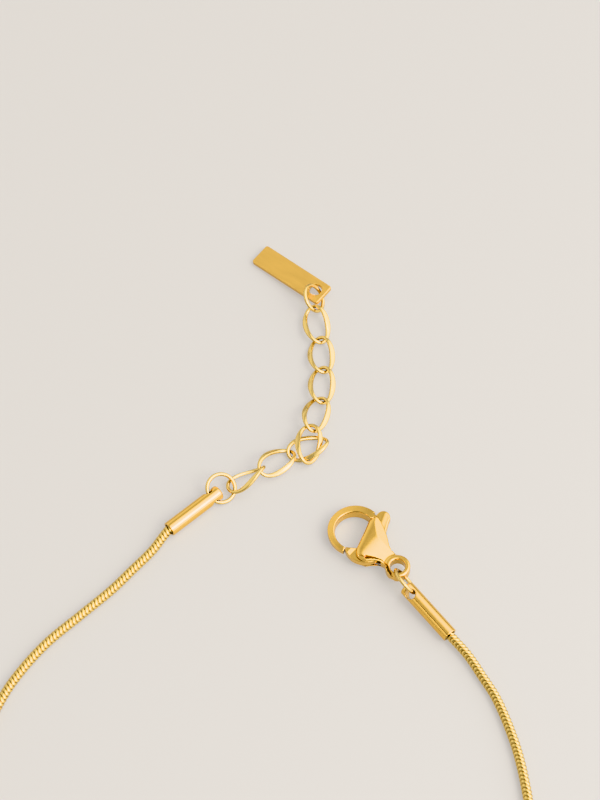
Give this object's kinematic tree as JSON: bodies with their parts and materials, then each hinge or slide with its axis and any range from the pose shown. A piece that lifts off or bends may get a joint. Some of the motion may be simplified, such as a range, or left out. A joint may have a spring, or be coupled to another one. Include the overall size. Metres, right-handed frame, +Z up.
{
  "type": "snake chain bracelet",
  "caption": "Round snake chain bracelet with rolled end tubes, a lobster clasp with a sprung lever, and a curb link extender that ends in a plain bar tag.",
  "frame": {"origin": "on the table, under the middle of the whole bracelet's box as it lies", "axes": "+Z up from the table, +Y along the bracelet's long way from the middle of the chain's loop to the tag, +X to the clasp's side"},
  "size_m": [0.056, 0.093, 0.003],
  "materials": {
    "snake_gold": "gold plated, fine ribs of bright bent plates with dark gaps between them",
    "tube_gold": "gold plated, smooth and polished with faint rolling marks",
    "wire_gold": "gold plated, polished wire hammered flatter on the links' sides",
    "satin_gold": "gold plated, flat stamped plate with a soft satin sheen",
    "cast_gold": "gold plated, polished casting with soft edges"
  },
  "bodies": {
    "root": {"snake_chain": "snake_gold", "extender_end_tube": "tube_gold", "clasp_end_tube": "tube_gold", "extender_jump_ring": "wire_gold", "clasp_jump_ring": "wire_gold", "tag_jump_ring": "wire_gold", "extender_link_1": "wire_gold", "extender_link_2": "wire_gold", "extender_link_3": "wire_gold", "extender_link_4": "wire_gold", "extender_link_5": "wire_gold", "extender_link_6": "wire_gold", "extender_link_7": "wire_gold", "extender_link_8": "wire_gold", "bar_tag": "satin_gold", "clasp_body": "cast_gold", "clasp_pin": "cast_gold"},
    "lever": {"clasp_lever": "cast_gold"}
  },
  "joints": [
    {"name": "lever_pivot", "type": "hinge", "parent": "root", "child": "lever", "pos_m": [0.01243, 0.00745, 0.00116], "axis": [0.0392, -0.0347, -0.9986], "range_deg": [0, 22], "stiffness_Nm_per_rad": 0.004, "springref_deg": -17.19}
  ]
}
